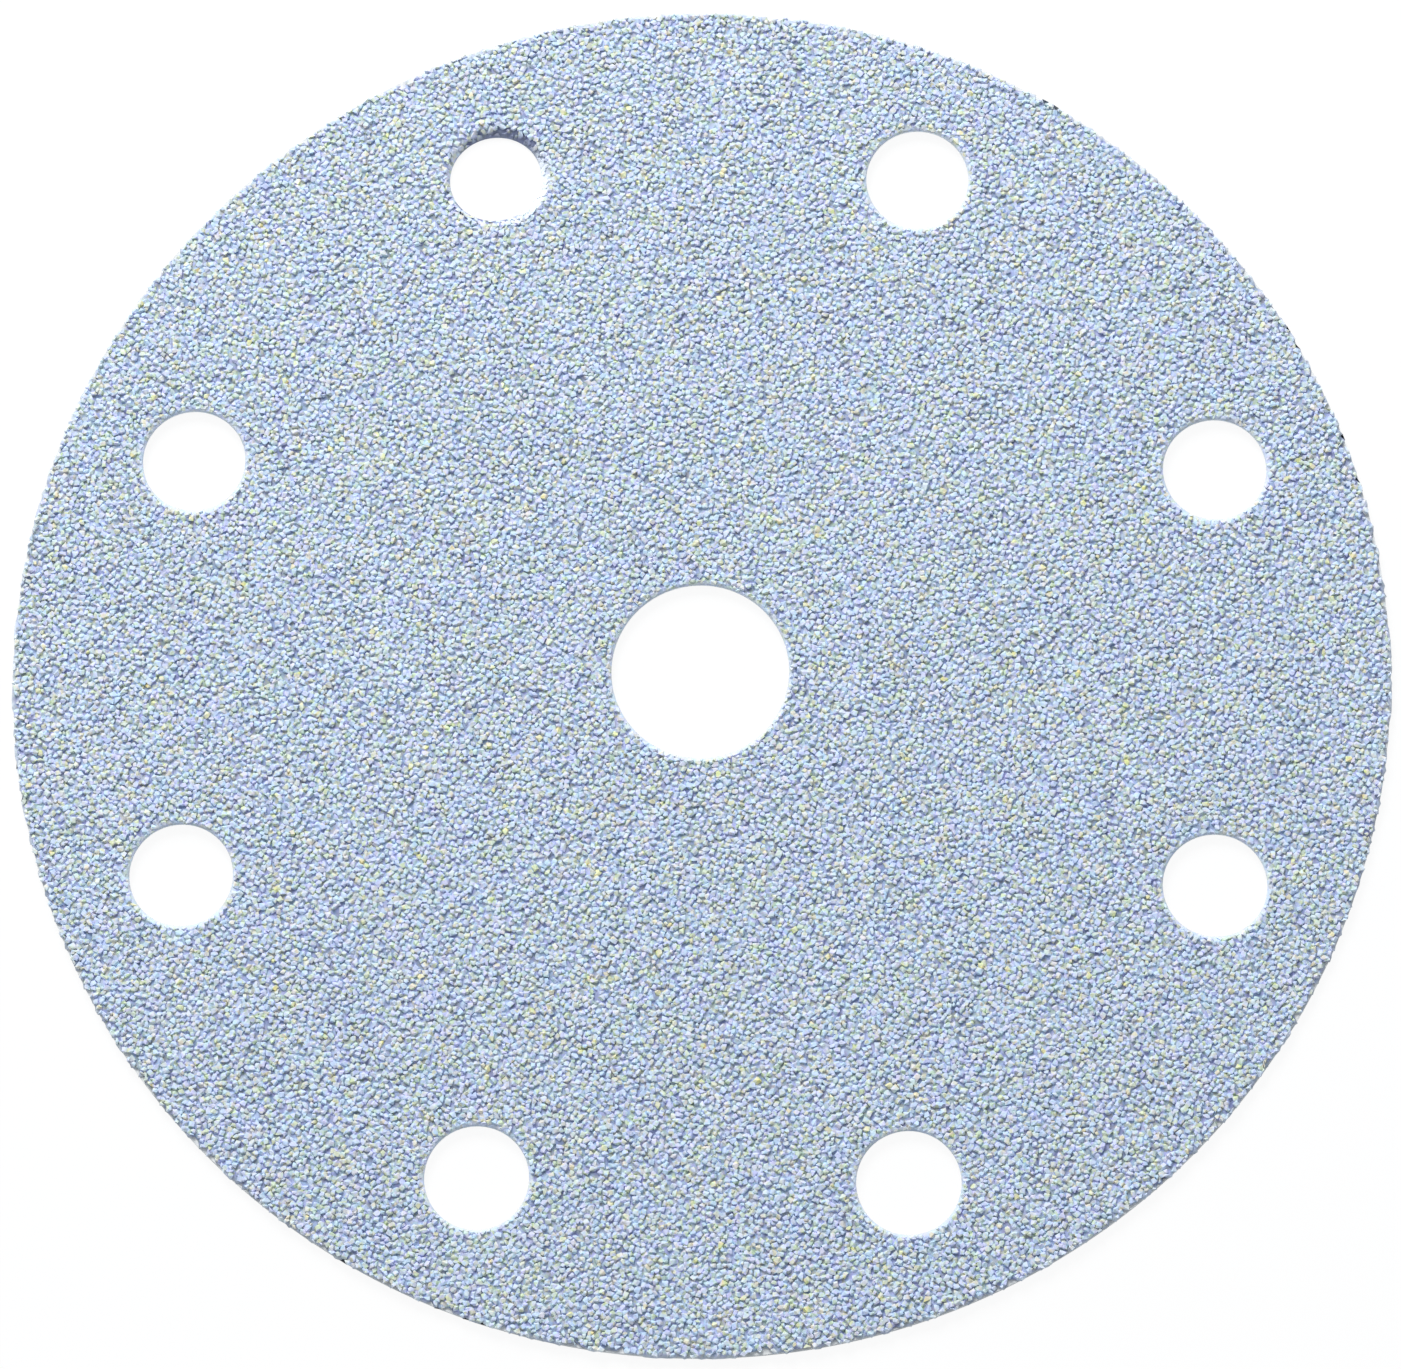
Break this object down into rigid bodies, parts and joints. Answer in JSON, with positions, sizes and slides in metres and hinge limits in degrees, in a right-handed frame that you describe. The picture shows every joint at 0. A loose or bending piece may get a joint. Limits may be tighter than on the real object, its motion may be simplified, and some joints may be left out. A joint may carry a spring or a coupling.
{
  "type": "sanding disc",
  "caption": "Round flat sheet of coated abrasive with a centre hole and a ring of dust holes, coarse blue-grey grain on its face and a plain fibre back.",
  "frame": {"origin": "centre of the back face, on the axis of the centre hole", "axes": "+Z along the disc's axis, out of the grain side; +X right and +Y up when the grain side is looked at with the pushed-in dust hole at the upper left"},
  "size_m": [0.149, 0.149, 0.0014],
  "materials": {
    "grain_coat": "matte",
    "fibre_backing": "matte"
  },
  "bodies": {
    "root": {"sanding_disc": "grain_coat"}
  },
  "joints": []
}
